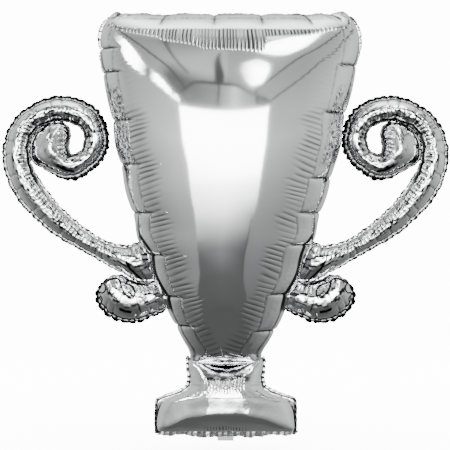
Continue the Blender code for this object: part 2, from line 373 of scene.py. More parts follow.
def relax(start, rests, push):
    """Blows up a film that can't stretch but can fold, with its seam held."""
    points = start.copy()
    free = np.ones(points.shape[:2])
    free[[0, -1]] = 0
    free[:, [0, -1]] = 0
    pairs = edges_of(points, rests)
    frees = [(a[..., None], b[..., None]) for a, b, _ in edges_of(free, rests)]
    before = points.copy()
    for _ in range(ROUNDS):
        motion = (points - before) * KEPT_MOTION
        before[:] = points
        lift = film_normals(points)
        lift *= push / np.abs(lift).max()
        points += (motion + lift) * free[..., None]
        for _ in range(PASSES):
            for (a, b, rest), (free_a, free_b) in zip(pairs, frees):
                span = b - a
                length = np.sqrt((span * span).sum(-1)) + 1e-12
                over = np.maximum(length - rest, 0) / length
                total = np.maximum(free_a + free_b, 1)
                span *= over[..., None] / total
                a += span * free_a
                b -= span * free_b
    return points


def resample(points, rows, columns):
    """The same surface with more rows and columns, smooth in between."""
    for axis, count in ((0, rows), (1, columns)):
        grid = np.moveaxis(points, axis, 0)
        place = np.linspace(0, len(grid) - 1, count + 1)
        low = np.clip(place.astype(int), 0, len(grid) - 2)
        t = (place - low).reshape(-1, *[1] * (grid.ndim - 1))
        a, b = grid[np.maximum(low - 1, 0)], grid[low]
        c, d = grid[low + 1], grid[np.minimum(low + 2, len(grid) - 1)]
        points = np.moveaxis(between(a, b, c, d, t), 0, axis)
    return points


def blown_film(seams, rows, columns):
    """A chamber's front film, solved from a coarse grid to a fine one."""
    film = None
    for split in LEVELS:
        outer, inner, depth, bow = seams(rows // split)
        start, rests = start_and_rest(outer, inner, depth, bow, columns // split)
        if film is not None:
            seam = start.copy()
            start = resample(film, rows // split, columns // split)
            start[[0, -1]] = seam[[0, -1]]
            start[:, [0, -1]] = seam[:, [0, -1]]
        film = relax(start, rests, LIFT / split)
    film = smoothed(film, SMOOTHINGS)
    film[..., 1] *= depth.max() / -film[..., 1].min()
    return film


def within_seam(film):
    """The film with each row no wider than its own ends on the seam."""
    ends = film[:, :1, 0], film[:, -1:, 0]
    middle = (ends[0] + ends[1]) / 2
    reach = np.abs(film[..., 0] - middle).max(1, keepdims=True)
    film = film.copy()
    film[..., 0] = middle + (film[..., 0] - middle) * np.minimum((ends[1] - ends[0]) / 2 / reach, 1)
    return film


def within_outline(film):
    """The film with each level no wider than its seam is at that height."""
    film = film.copy()
    seam = film[::-1, -1]
    levels = np.linspace(seam[0, 2], seam[-1, 2], 60)
    reach = [np.abs(film[..., 0])[np.abs(film[..., 2] - level) < 2 * MM].max() for level in levels]
    share = np.minimum(np.interp(levels, seam[:, 2], seam[:, 0]) / reach, 1)
    inside = film[1:-1, 1:-1]
    inside[..., 0] *= np.interp(inside[..., 2], levels, share)
    return film


def seated(film, cup, side):
    """A handle's film with its root moved to the cup's seam; side is -1 or 1."""
    film = film.copy()
    seam = cup[:, 0] if side < 0 else cup[:, -1]
    edge = np.interp(-film[0, :, 2], -seam[:, 2], seam[:, 0]) + side * ROOT_GAP
    away = distances(film[:, film.shape[1] // 2])[:, None]
    film[..., 0] += (edge - film[0, :, 0]) * fall(away, 0, ROOT_REACH)
    return film


def settled_base(film):
    """The base's film, flatter across and fullest low down."""
    film = film.copy()
    x, y, z = film[..., 0], film[..., 1], film[..., 2]
    fullest = 36 * MM - 15 * MM * (x / (108 * MM)) ** 2
    low = bell(z - fullest, 12 * MM) * ramp(-y, 0, 25 * MM)
    crown = 1 - 0.085 * (1 - bell(x - 3 * MM, 50 * MM))
    crown = crown - 0.06 * ramp(-x, 25 * MM, 60 * MM)
    sag = 6 * MM * ramp(np.abs(x), 40 * MM, 95 * MM) * bell(z - 26 * MM, 13 * MM)
    film[..., 1] = y * crown - 4.5 * MM * low
    film[..., 2] = np.maximum(z - sag, film[-1, 0, 2])
    return film


def lowered_lip(film):
    """The cup's film with its lower end sagging over the fold at the neck."""
    film = film.copy()
    sag = ramp(-film[..., 1], 0, 25 * MM) * fall(film[..., 2], 118 * MM, 165 * MM)
    film[..., 2] -= LIP_SAG * sag
    return film


def even_sided(film):
    """The film averaged with its own mirror image about the middle of each row."""
    other = film[:, ::-1].copy()
    other[..., 0] = film[:, :1, 0] + film[:, -1:, 0] - other[..., 0]
    return (film + other) / 2


def smoothed(film, rounds):
    """The film without its smallest waves, least smoothed beside its seam."""
    film = film.copy()
    rows, columns = film.shape[:2]
    row, column = np.mgrid[1:rows - 1, 1:columns - 1]
    inside = np.minimum(np.minimum(row, rows - 1 - row), np.minimum(column, columns - 1 - column))
    weight = (0.15 + 0.85 * ramp(inside, 2, 9))[..., None]
    for step in (0.5, -0.51) * rounds:
        inner = film[1:-1, 1:-1]
        around = film[:-2, 1:-1] + film[2:, 1:-1] + film[1:-1, :-2] + film[1:-1, 2:]
        film[1:-1, 1:-1] = inner + step * weight * (around / 4 - inner)
    return film


def dimples(film, along_size, across_size, tall, seed):
    """Uneven small facets all over a film: smooth random heights."""
    source = np.random.default_rng(seed)
    length = distances(film[:, film.shape[1] // 2])[-1]
    width = np.linalg.norm(np.diff(film, axis=1), axis=2).sum(1).max()
    rows, columns = int(length / along_size) + 3, int(width / across_size) + 3
    knots = source.uniform(-1, 1, (rows, columns, 1))
    return tall * resample(knots, film.shape[0] - 1, film.shape[1] - 1)[..., 0]


def wobble(places, step, seed):
    """Smooth random numbers from -1 to 1 along a seam."""
    source = np.random.default_rng(seed)
    knots = np.arange(places.min() - step, places.max() + 2 * step, step)
    return np.interp(places, knots, source.uniform(-1, 1, len(knots)))


def ramp(values, low, high):
    """0 up to low, 1 from high on, smooth in between."""
    t = np.clip((values - low) / (high - low), 0, 1)
    return t * t * (3 - 2 * t)


def fall(values, low, high):
    """1 up to low, 0 from high on, smooth in between."""
    return 1 - ramp(values, low, high)


def band(values, places):
    """1 between the inner two of four places in millimetres, 0 past the outer two."""
    a, b, c, d = (place * MM for place in places)
    return ramp(values, a, b) * fall(values, c, d)


def bell(values, width):
    """1 at 0, falling to both sides: 0.37 at width."""
    return np.exp(-(values / width) ** 2)


# Sides of a film's grid: how its rows and columns turn so that the side is first
TURNS = {
    "outer": lambda grid: np.swapaxes(grid, 0, 1),
    "inner": lambda grid: np.swapaxes(grid[:, ::-1], 0, 1),
    "start": lambda grid: grid,
    "end": lambda grid: grid[::-1],
}


def seam_places(film, side):
    """Distance along a side's seam, and distance in from it as seen from the front.

    They follow the film's own rows, except at the cup's two sides: its rows sag
    there, so both are measured at each point's height."""
    grid = TURNS[side](film)
    seam = grid[0]
    along = distances(seam)
    is_cup = film.shape[1] == FINE_GRID["cup"][1] + 1
    if side in ("start", "end") or not is_cup:
        return along, np.hypot(grid[..., 0] - seam[:, 0], grid[..., 2] - seam[:, 2])
    level = np.clip(grid[..., 2], seam[-1, 2], seam[0, 2])
    edge = np.interp(-level, -seam[:, 2], seam[:, 0])
    return np.interp(-level, -seam[:, 2], along), np.abs(grid[..., 0] - edge)


def distances(line):
    """Distance along a line of points, point by point."""
    step = np.linalg.norm(np.diff(line, axis=0), axis=1)
    return np.concatenate([[0], np.cumsum(step)])


def along_side(height, side):
    """A height worked out with its side first, turned back to the film's grid."""
    return TURNS[side](height) if side != "inner" else np.swapaxes(height, 0, 1)[:, ::-1]


def in_lobes(along, creases):
    """Which stretch between two creases each place is in, as a share of it."""
    ends = np.sort(np.array([along.min() - 30 * MM, *creases, along.max() + 30 * MM]))
    gap = np.clip(np.searchsorted(ends, along, side="right") - 1, 0, len(ends) - 2)
    share = (along - ends[gap]) / (ends[gap + 1] - ends[gap])
    nearest = np.abs(along[..., None] - ends).min(-1)
    return np.clip(share, 0, 1), nearest


def lobes(film, side, creases, swell, reach, fold, fold_reach, crease_shade=0.75):
    """A seam's edge swells between its creases and folds in sharply at each, with a line of painted
    shade in each crease.
    """
    along, inward = seam_places(film, side)
    share, nearest = in_lobes(along, creases)
    bulge = np.sqrt(np.sin(np.pi * share) + 1e-9) - 0.75
    height = swell * bulge * fall(inward, 0, reach)
    groove = bell(nearest, CREASE_WIDTH) + 0.5 * bell(nearest, CREASE_SLOPES)
    fade = fall(inward, 0.4 * fold_reach, fold_reach)
    height = height - fold * groove * fade
    # Painted shade along the middle of each crease
    dark = crease_shade * bell(nearest, CREASE_LINE) * fade
    return along_side(height, side), along_side(dark, side)


def fold_start(share, begin):
    """How far in the fine folds start, from the lower to the upper end of a lobe."""
    return begin[0] + (begin[1] - begin[0]) * (1 - share)


def hatch(film, side, creases, begin, length, pitch, seed, rise=0.0):
    """Fine folds that start at a line inside the seam and die out inwards.

    Gives which fold each point is at, in turns, and how deep it is, from 0 to 1.
    begin is what fold_start takes, and rise how steeply they climb on their way in."""
    along, inward = seam_places(film, side)
    share, _ = in_lobes(along, creases)
    first = fold_start(share, begin) * (1 + 0.06 * wobble(along, 9 * MM, seed + 2))
    stop = first + length * (1 + 0.25 * wobble(along, 1.4 * pitch, seed + 1))
    turn = (along + rise * inward) / pitch + 0.35 * wobble(along, 2.7 * pitch, seed)
    turn = turn + 0.3 * wobble(along, 5 * pitch, seed + 5) * inward / length
    power = 0.62 + 0.38 * wobble(along, 1.6 * pitch, seed + 3)
    fade = ramp(inward, first - 0.5 * MM, first + MM) * fall(inward, first + 0.5 * length, stop)
    return along_side(turn, side), along_side(power * fade, side)


def deeper(one, other):
    """Two sides' folds as one, each point keeping the deeper of them."""
    keep = one[1] > other[1]
    return np.where(keep, one[0], other[0]), np.where(keep, one[1], other[1])


def seam_line(film, side, width, dark, seed):
    """The line of painted shade where a film rises from its border."""
    along, inward = seam_places(film, side)
    uneven = 0.6 + 0.4 * wobble(along, 7 * MM, seed)
    line = dark * uneven * fall(inward, 0.4 * width, width)
    return along_side(0 * line, side), along_side(line, side)


def start_line(film, side, creases, begin, tall, seed):
    """The beaded ridge where the fine folds of a side start, with painted shade along its beads."""
    along, inward = seam_places(film, side)
    share, _ = in_lobes(along, creases)
    line = bell(inward - fold_start(share, begin), 1.5 * MM)
    beads = 0.5 + 0.5 * wobble(along, 2.5 * MM, seed)
    return along_side(-tall * line * (0.4 + beads), side), along_side(0.28 * line * beads, side)


def shade_flecks(film, long, wide, low, high, seed):
    """Short dashes of painted shade along a tube, standing for broken dark reflections, between two
    shares of the way across it.
    """
    across = np.linspace(0, 1, film.shape[1])
    zone = ramp(across, low - 0.08, low + 0.02) * fall(across, high - 0.02, high + 0.08)
    return zone * ramp(dimples(film, long, wide, 1.0, seed), 0.2, 0.6)


def painted_fold_shade(film, folds):
    """Painted shade of folds along lines of places on a handle, alike on both sides."""
    x, z = -np.abs(film[..., 0]), film[..., 2]
    dark = 0 * x
    for width, crease_shade, line in folds:
        places = smooth_rows(line) * MM
        gap = np.min([np.hypot(x - place[0], z - place[1]) for place in places], axis=0)
        dark = np.maximum(dark, crease_shade * fall(gap, 0.3 * width * MM, 0.6 * width * MM))
    return dark


def neck_shade(film, tall, deep):
    """The painted shade of the black line of the fold between the cup and the base:
    how far up and down and how far forward it reaches."""
    x, y, z = film[..., 0], film[..., 1], film[..., 2]
    line = NECK_HEIGHT + NECK_RISE * (x / NECK_HALF) ** 2
    near = fall(np.abs(z - line), tall, tall + 2 * MM) * fall(-y, deep, deep + 6 * MM)
    return 0 * near, near * fall(np.abs(x), 40 * MM, 46 * MM)


def pushed(film, height):
    """The film moved along its normals, with its seam kept in the seam's plane."""
    normal = film_normals(film)
    normal /= np.linalg.norm(normal, axis=2, keepdims=True) + 1e-12
    for side in SEAM_ROWS:
        normal[side][..., 1] *= 0.2
        normal[side] /= np.linalg.norm(normal[side], axis=-1, keepdims=True) + 1e-12
    moved = film + normal * height[..., None]
    moved[..., 1] = np.minimum(moved[..., 1], 0)
    for side in SEAM_ROWS:
        moved[side][..., 1] = 0
    return moved


def perimeter(film):
    """Grid indices once round a film's seam, and the side that each is on."""
    rows, columns = film.shape[:2]
    index = np.arange(rows * columns).reshape(rows, columns)
    loops = (index[0, :-1], index[:-1, -1], index[-1, :0:-1], index[:0:-1, 0])
    sides = [np.full(len(loop), number) for number, loop in enumerate(loops)]
    return np.concatenate(loops), np.concatenate(sides)


def rounded(values, steps):
    """Values round a loop, each averaged with its neighbours steps times."""
    for _ in range(steps):
        values = (np.roll(values, 1, 0) + 2 * values + np.roll(values, -1, 0)) / 4
    return values


def border_values(sides, border):
    """The border's width and its edge's painted shade at each point of the loop."""
    width, dark = np.zeros(len(sides)), np.zeros(len(sides))
    for number, side in enumerate(SIDE_ORDER):
        here = np.flatnonzero(sides == number)
        share = np.linspace(0, 1, len(here))
        if side in ("end", "outer"):
            share = share[::-1]
        places, widths, darks = zip(*border[side])
        width[here] = np.interp(share, places, widths) * MM
        dark[here] = np.interp(share, places, darks)
    return rounded(width, 6), rounded(dark, 6)


def border_strip(film, border, face_gap):
    """Rings of points outside the seam: the flat border, crinkled along its edge, each ring with its
    painted shade.
    """
    loop, sides = perimeter(film)
    seam = film.reshape(-1, 3)[loop]
    tangent = rounded(np.roll(seam, -1, 0) - np.roll(seam, 1, 0), 8)
    outward = np.stack([tangent[:, 2], np.zeros(len(loop)), -tangent[:, 0]], -1)
    outward /= np.linalg.norm(outward, axis=1, keepdims=True) + 1e-12
    area = (seam[:, 0] * np.roll(seam[:, 2], -1) - np.roll(seam[:, 0], -1) * seam[:, 2]).sum()
    if area < 0:
        outward = -outward
    along = distances(seam)
    width, edge_dark = border_values(sides, border)
    crinkle = np.sin(2 * np.pi * along / (9 * MM) + 2.5 * wobble(along, 14 * MM, 7))
    crinkle = crinkle + 0.4 * wobble(along, 4 * MM, 8)
    pitch, notch = border["beads"]
    turn = along / (pitch * MM) + 0.3 * wobble(along, 2 * pitch * MM, 11)
    bead = notch * (np.sqrt(np.abs(np.sin(np.pi * turn))) - 0.7)
    ragged = bead + 0.15 * wobble(along, 8 * MM, 9) + 0.08 * crinkle
    line = border.get("line", 0) * (sides != SIDE_ORDER.index("end"))
    tilt = border.get("tilt", 0)
    rings = []
    for share, dark in BORDER_RINGS:
        ring = seam + outward * (width * share * (1 + ragged * share))[:, None]
        ring[:, 1] = share * width * ((0.08 + 0.22 * edge_dark) * crinkle - tilt) - face_gap
        dark = dark * edge_dark * np.clip(1 + 0.35 * wobble(along, 9 * MM, 10), 0, 1)
        rings.append((ring, np.maximum(dark, line * (share < LINE_REACH))))
    return loop, rings


def mesh_object(name, points, quads, values, material):
    """A mesh of quads, with a number at each point for each of the values' names."""
    mesh = bpy.data.meshes.new(name)
    mesh.from_pydata(points.tolist(), [], quads.tolist())
    for word, numbers in values.items():
        layer = mesh.attributes.new(word, "FLOAT", "POINT")
        layer.data.foreach_set("value", numbers)
    mesh.materials.append(material)
    made = bpy.data.objects.new(name, mesh)
    bpy.context.scene.collection.objects.link(made)
    return made


def film_object(name, film, looks, border, back, material):
    """A film and its welded border, as one piece that stands for its CAD node."""
    index = np.arange(film.shape[0] * film.shape[1]).reshape(film.shape[:2])
    corners = index[:-1, :-1], index[1:, :-1], index[1:, 1:], index[:-1, 1:]
    quads = [np.stack(corners, -1).reshape(-1, 4)]
    points = [film.reshape(-1, 3)]
    values = {word: [look.reshape(-1)] for word, look in looks.items()}
    before, rings = border_strip(film, border, -FACE_GAP if back else FACE_GAP)
    for ring, dark in rings:
        here = np.arange(len(ring)) + sum(len(part) for part in points)
        quads.append(np.stack([before, np.roll(before, -1), np.roll(here, -1), here], -1))
        # A back border runs beside the front one, and isn't its mirror image
        points.append(ring * [1, -1, 1] if back else ring)
        # Each border ring carries its painted shade
        ring_looks = {"shade": dark, "crinkle": 0.2}
        for word in looks:
            values[word].append(ring_looks.get(word, 0) * np.ones(len(ring)))
        before = here
    points = np.concatenate(points)
    if back:
        points = points * [1, -1, 1]
    quads = np.concatenate(quads)
    a, b, c = (points[quads[:len(quads) // 2, k]] for k in (0, 1, 2))
    facing = np.cross(b - a, c - a)[:, 1].sum()
    if (facing > 0) != back:
        quads = quads[:, ::-1]
    values = {word: np.concatenate(parts) for word, parts in values.items()}
    made = mesh_object(name, points, quads, values, material)
    made.data.shade_smooth()
    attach(made, "root")
    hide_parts(name.replace("foil", "film"))


class Nodes:
    """Adds a material's nodes, and links them by what feeds their inputs."""

    def __init__(self, name):
        self.material = bpy.data.materials.new(name)
        self.material.use_nodes = True
        self.tree = self.material.node_tree
        self.shader = self.tree.nodes["Principled BSDF"]

    def add(self, kind, inputs, **settings):
        node = self.tree.nodes.new("ShaderNode" + kind)
        for word, value in settings.items():
            setattr(node, word, value)
        return self.feed(node, inputs)

    def feed(self, node, inputs):
        for socket, value in inputs.items():
            if isinstance(value, bpy.types.NodeSocket):
                self.tree.links.new(value, node.inputs[socket])
            else:
                node.inputs[socket].default_value = value
        return node

    def finished(self, inputs):
        """The material, with its shader's inputs fed."""
        self.feed(self.shader, inputs)
        return self.material

    def math(self, operation, one, other=0.0):
        return self.add("Math", {0: one, 1: other}, operation=operation).outputs[0]

    def attribute(self, word):
        return self.add("Attribute", {}, attribute_name=word).outputs["Fac"]

    def fold(self, word):
        """A sharp fold's profile, 1 in each fold's middle, times its depth."""
        part = self.math("SUBTRACT", self.math("FRACT", self.attribute(word + "_turn")), 0.5)
        narrow = self.math("POWER", self.math("DIVIDE", part, FOLD_WIDTH), 2.0)
        profile = self.math("EXPONENT", self.math("MULTIPLY", narrow, -1.0))
        return self.math("MULTIPLY", profile, self.attribute(word + "_depth"))


def foil_material():
    """Silvered film: a mirror with folds and crinkles, with painted shade in its folds, creases, seams
    and at its edges.
    """
    nodes = Nodes("silver_foil")
    place = nodes.add("TexCoord", {}).outputs["Object"]
    folds = nodes.math("ADD", nodes.fold("side"), nodes.fold("end"))
    # Painted shade: the shade attribute and the fine folds turn the silver towards black
    clear = nodes.math("SUBTRACT", 1.0, nodes.math("MINIMUM", nodes.attribute("shade"), 1.0))
    dark = nodes.math("SUBTRACT", 1.0, nodes.math("POWER", clear, EDGE_CONTRAST))
    dark = nodes.math("MAXIMUM", dark, nodes.math("MULTIPLY", folds, FOLD_DARK))
    dark = nodes.math("MAXIMUM", dark, 0.0)
    tone = nodes.add("Mix", {"Factor": dark, "A": SILVER, "B": PAINTED_SHADE_BLACK}, data_type="RGBA")
    fine = nodes.add("TexNoise", {"Vector": place, "Scale": 260.0, "Detail": 2.0})
    facets = nodes.add("TexVoronoi", {"Vector": place, "Scale": 150.0})
    crinkle = nodes.math("ADD", fine.outputs["Fac"], facets.outputs["Distance"])
    tall = nodes.math("MULTIPLY", nodes.attribute("crinkle"), CRINKLE_TALL)
    crinkle = nodes.math("MULTIPLY", crinkle, tall)
    height = nodes.math("SUBTRACT", crinkle, nodes.math("MULTIPLY", folds, FOLD_TALL))
    bump = nodes.add("Bump", {"Strength": 1.0, "Distance": 1.0, "Height": height})
    clouds = nodes.add("TexNoise", {"Vector": place, "Scale": 9.0})
    dull = nodes.add("MapRange", {"Value": clouds.outputs["Fac"], "To Min": 0.05, "To Max": 0.11})
    return nodes.finished({"Base Color": tone.outputs["Result"], "Metallic": 1.0,
                           "Roughness": dull.outputs[0], "Normal": bump.outputs[0]})


def valve_material():
    """The filling tail's sleeve: clear plastic over silver, a little milky."""
    nodes = Nodes("valve_film")
    place = nodes.add("TexCoord", {}).outputs["Object"]
    clouds = nodes.add("TexNoise", {"Vector": place, "Scale": 60.0})
    tone = nodes.add("Mix", {"Factor": clouds.outputs["Fac"], "A": (0.62, 0.64, 0.66, 1),
                             "B": (0.75, 0.77, 0.79, 1)}, data_type="RGBA")
    return nodes.finished({"Base Color": tone.outputs["Result"], "Roughness": 0.25})


# The camera in front of the balloon's middle, how wide a view it has there, and
# the pale floor below
CAMERA_DISTANCE = 3.0
CAMERA_X = -0.0008
CAMERA_HEIGHT = 0.3352
VIEW_WIDTH = 0.71325
SENSOR_WIDTH = 36
FLOOR_RADIUS = 2.4
FLOOR_HEIGHT = -0.03
FLOOR_COLOUR = (0.95, 0.95, 0.95, 1)
PURE_WHITE = (1, 1, 1, 1)

# The studio is a dome of light that only the foil mirrors. Directions are in
# degrees: azimuth from the front to the balloon's right in the photo, elevation
# up from the middle of the balloon. Brightness goes from that of the white room
# to that of the ground, and no sheet hung in the dome is darker than DARKEST
WHITE = 14.0
GROUND = 0.11
DARKEST = 0.1
DOME_CENTRE = (0.0, 0.0, CAMERA_HEIGHT)
# Radii of the dome and of what hangs in front of it
DOME_RADIUS = 2.6
SHEET_RADIUS = DOME_RADIUS - 0.01
WEDGE_RADIUS = DOME_RADIUS - 0.015
LINE_RADIUS = DOME_RADIUS - 0.02
DOME_STEP = 2
# The cup's depth over that of the deeper film that the directions are given for
FLATNESS = 0.547
# Where on the cup a direction is mirrored: how far out at the sides, and how far
# up at level and for each degree of elevation
MIRRORED_X = 90 * MM
MIRRORED_Z = (80 * MM, 3 * MM)

# The front wall, lit at the top and fading into the dark floor, a row a level:
# left azimuth and elevation, right azimuth and elevation, then how bright it
# is at the left, in the middle and at the right
FRONT_WALL = (
    (-49, 24.8, 41, 25, 14, 14, 14),
    (-45.5, 8, 38.5, 10, 14, 14, 14),
    (-43.8, -1, 37.5, -1, 10, 12, 12),
    (-43.2, -6, 37.5, -6, 5.5, 7.5, 6),
    (-43, -12, 37.5, -12, 4, 5, 3),
    (-42.5, -18.6, 37, -18, 2.6, 3, 0.8),
    (-42.8, -23, 35.5, -23.5, 1.1, 1.5, 0.5),
    (-43.2, -28, 33, -28.5, 0.4, 0.75, 0.2),
    (-45, -33, 31.5, -33, 0.24, 0.36, 0.14),
    (-47, -37, 31, -37, 0.16, 0.3, 0.12),
    (-56, -42, 37, -47, 0.12, 0.16, 0.13),
    (-66, -47, 51, -53, 0.12, 0.14, 0.12),
    (-82, -55, 69, -60, 0.11, 0.13, 0.11),
    (-98, -58, 91, -66, 0.11, 0.12, 0.11),
    (-143, -62, 148, -67, 0.11, 0.11, 0.11),
    (-180, -68, 180, -70, 0.11, 0.11, 0.11),
)
# The plain wall over the window, a row an azimuth: azimuth, its lower and upper
# elevation, brightness
WALL_OVER_WINDOW = (
    (-49, 25.3, 36, 0.3),
    (-37, 26.8, 43.5, 0.3),
    (-21, 28, 45.4, 0.42),
    (-10.5, 28, 45.5, 0.46),
    (-9.5, 28, 45.4, 0.55),
    (0, 28, 44.6, 0.85),
    (7, 27.8, 44, 1.4),
    (16, 27.5, 42, 0.85),
    (28.5, 26.8, 36.5, 0.6),
    (30, 26.5, 35.5, 0.22),
    (41, 25.5, 30, 0.22),
)
# A long slanting lamp on the left, with the wall's columns
LONG_LAMP = (
    (-112, 29, 36, 0.9),
    (-104, 27, 38, 3),
    (-98, 26, 39, 14),
    (-90, 26, 38, 14),
    (-85, 27, 36, 9),
    (-81, 28, 35, 1.3),
    (-76, 28, 35, 1.3),
    (-72, 29, 35, 12),
    (-66, 29, 34, 14),
    (-60, 28, 32, 12),
    (-50, 26.5, 29.5, 8),
    (-44, 25.5, 27, 4),
)
# Two soft boxes overhead on the right, with the front wall's columns
SOFT_BOX_LOW = (
    (26, 42, 36, 42, 14, 14, 14),
    (18, 49, 47, 49, 2, 14, 14),
    (16, 55, 50, 55, 1.5, 12, 10),
    (21, 61, 44, 61, 1.5, 5, 4),
)
SOFT_BOX_HIGH = (
    (74, 53, 92, 51, 9, 10, 6),
    (66, 58, 112, 53, 10, 14, 12),
    (62, 65, 124, 57, 12, 14, 14),
    (76, 71, 112, 66, 8, 12, 12),
)
# A dark card between the boxes and the long lamp, with the same columns
DARK_WEDGE = (
    (-26, 72, -20, 72, 0.25, 0.2, 0.25),
    (-23, 64, -13, 64, 0.14, 0.12, 0.14),
    (-18, 54, -5, 53, 0.12, 0.1, 0.12),
    (-15, 45, -6, 45, 0.12, 0.1, 0.12),
)
# The studio's poles and the dark edges between its sheets: width in degrees,
# brightness, then the line's azimuths and elevations
DARK_LINES = (
    (1.5, 0.11, ((-138, 36), (-122, 40), (-104, 44), (-84, 46.5), (-62, 44), (-45.6, 37.2))),
    (1.3, 0.13, ((-112, 60), (-92, 58), (-70, 54), (-46, 47.5))),
    (1.7, 0.12, ((-10, 46), (-10, 33), (-10, 28))),
    (2.0, 0.11, ((-57, 29.5), (-50, 33), (-45.6, 36), (-34.8, 43.5), (-13.4, 45.6),
                 (10.5, 43.8), (25.7, 36))),
    (0.8, 0.14, ((-48, 37), (-47.5, 26))),
    (1.6, 0.12, ((29, 37), (28.5, 27))),
    (1.5, 0.11, ((152, 27), (134, 33), (114, 39), (90, 44), (67.6, 45.7), (45, 42.5), (26.7, 36.6))),
    (1.3, 0.11, ((138, 20), (124, 24), (110, 27), (97.7, 28.2), (84, 31), (70, 31.5), (55, 30),
                 (40, 27.2), (34, 26))),
    (1.4, 0.12, ((35, -20), (31.5, -28), (30, -37), (34, -47), (46, -52))),
    (0.7, 0.25, ((-44.4, 10), (-43, -8), (-42, -20))),
)


def on_dome(azimuth, elevation, radius):
    """The place on the dome that the cup mirrors where a film of full depth would
    mirror this direction."""
    turn, rise = np.radians(azimuth), np.radians(elevation)
    light = np.stack([np.sin(turn) * np.cos(rise), -np.cos(turn) * np.cos(rise), np.sin(rise)], -1)
    view_x = -MIRRORED_X * np.sin(turn) * np.cos(rise) / CAMERA_DISTANCE
    view_z = -(MIRRORED_Z[0] + MIRRORED_Z[1] * elevation) / CAMERA_DISTANCE
    view = np.stack([view_x, 0 * view_x - 1, view_z], -1)
    view /= np.linalg.norm(view, axis=-1, keepdims=True)
    normal = (light + view) / np.array([1, FLATNESS, 1])
    normal /= np.maximum(np.linalg.norm(normal, axis=-1, keepdims=True), 1e-9)
    place = 2 * (normal * view).sum(-1, keepdims=True) * normal - view
    return place * radius + np.array(DOME_CENTRE)


def wall_light(azimuth, elevation):
    """Brightness of the plain walls, the ceiling, the ground and the sweep behind."""
    level = np.interp(elevation, (-90, -60, -40, -28, -17, -8, 0, 12, 30, 46, 60, 75, 90),
                      (0.11, 0.17, 0.26, 0.35, 0.47, 0.6, 0.8, 0.98, 0.75, 0.6, 0.7, 0.6, 0.5))
    left = np.interp(-azimuth, (0, 45, 58, 75, 100, 118, 180), (1.3, 1.3, 1.2, 0.95, 0.62, 0.8, 1.0))
    right = np.interp(azimuth, (0, 45, 75, 100, 118, 180), (0.95, 0.95, 0.8, 0.9, 1.1, 1.0))
    light = level * np.where(azimuth < 0, left, right)
    near_arc = fall(elevation, 46, 62) * ramp(azimuth, -75, -60) * fall(azimuth, -5, 10)
    light = light * (1 - 0.75 * near_arc * (elevation > 30))
    behind = ramp(np.abs(azimuth), 105, 150)
    sweep = np.interp(elevation, (-90, -60, -30, -5, 25, 45, 58, 74, 78),
                      (0.11, 0.11, 0.2, 0.75, 0.95, 1.6, 3.6, 4.2, 0.9))
    light = light + (sweep - light) * behind
    return np.where(elevation < -62, GROUND, light)


def glow_material():
    """Emission as bright as the mesh's brightness attribute says."""
    nodes = Nodes("studio_light")
    nodes.tree.nodes.remove(nodes.shader)
    glow = nodes.add("Emission", {"Strength": nodes.attribute("brightness")})
    nodes.feed(nodes.tree.nodes["Material Output"], {"Surface": glow.outputs[0]})
    return nodes.material


def lifted(elevations):
    """Elevations of the studio's things, raised to where the filled rim mirrors them."""
    return elevations + 5 * ramp(elevations, 5, 28) + 4 * ramp(elevations, 28, 70)


def lit_sheet(name, azimuths, elevations, brightness, radius, material):
    """A sheet of the dome: a grid of directions with its brightness painted on."""
    points = on_dome(azimuths, elevations, radius)
    index = np.arange(azimuths.size).reshape(azimuths.shape)
    corners = index[:-1, :-1], index[:-1, 1:], index[1:, 1:], index[1:, :-1]
    quads = np.stack(corners, -1).reshape(-1, 4)
    values = {"brightness": np.asarray(brightness, float).reshape(-1)}
    made = mesh_object("stage_" + name, points.reshape(-1, 3), quads, values, material)
    made.visible_camera = made.visible_diffuse = made.visible_shadow = False


def wide_sheet(name, rows, arch, radius, material, columns=33):
    """A sheet from rows of left end, right end and three brightnesses.

    arch is how many degrees the middle of its upper rows lies above their ends."""
    table = smooth_rows(rows)
    share = np.linspace(0, 1, columns)
    azimuths = table[:, :1] + (table[:, 2:3] - table[:, :1]) * share
    elevations = table[:, 1:2] + (table[:, 3:4] - table[:, 1:2]) * share
    top = ramp(elevations, -5, 25)
    elevations = elevations + arch * top * (1 - (2 * share - 1) ** 2)
    light = np.stack([np.interp(share, (0, 0.5, 1), row) for row in table[:, 4:7]])
    lit_sheet(name, azimuths, lifted(elevations), np.maximum(light, DARKEST), radius, material)


def tall_sheet(name, rows, radius, material):
    """A sheet from rows of azimuth, lower and upper elevation and brightness."""
    upright = [(turn, low, turn, high, light, light, light) for turn, low, high, light in rows]
    wide_sheet(name, upright, 0, radius, material, columns=9)


def dark_line(name, width, light, line, radius, material):
    """A narrow band of the dome along a line of directions, wider behind the balloon."""
    table = smooth_rows(line)
    step = np.gradient(table, axis=0)
    flat = np.cos(np.radians(table[:, 1]))
    length = np.hypot(step[:, 0] * flat, step[:, 1])
    side = np.stack([-step[:, 1] / np.maximum(flat, 0.1), step[:, 0] * flat], -1) / length[:, None]
    width = width * (1 + 0.9 * ramp(np.abs(table[:, :1]), 80, 130))
    edges = [table + side * width * share for share in (-0.5, 0, 0.5)]
    grid = np.stack(edges, 1)
    lit_sheet(name, grid[..., 0], lifted(grid[..., 1]), np.full(grid.shape[:2], light), radius, material)


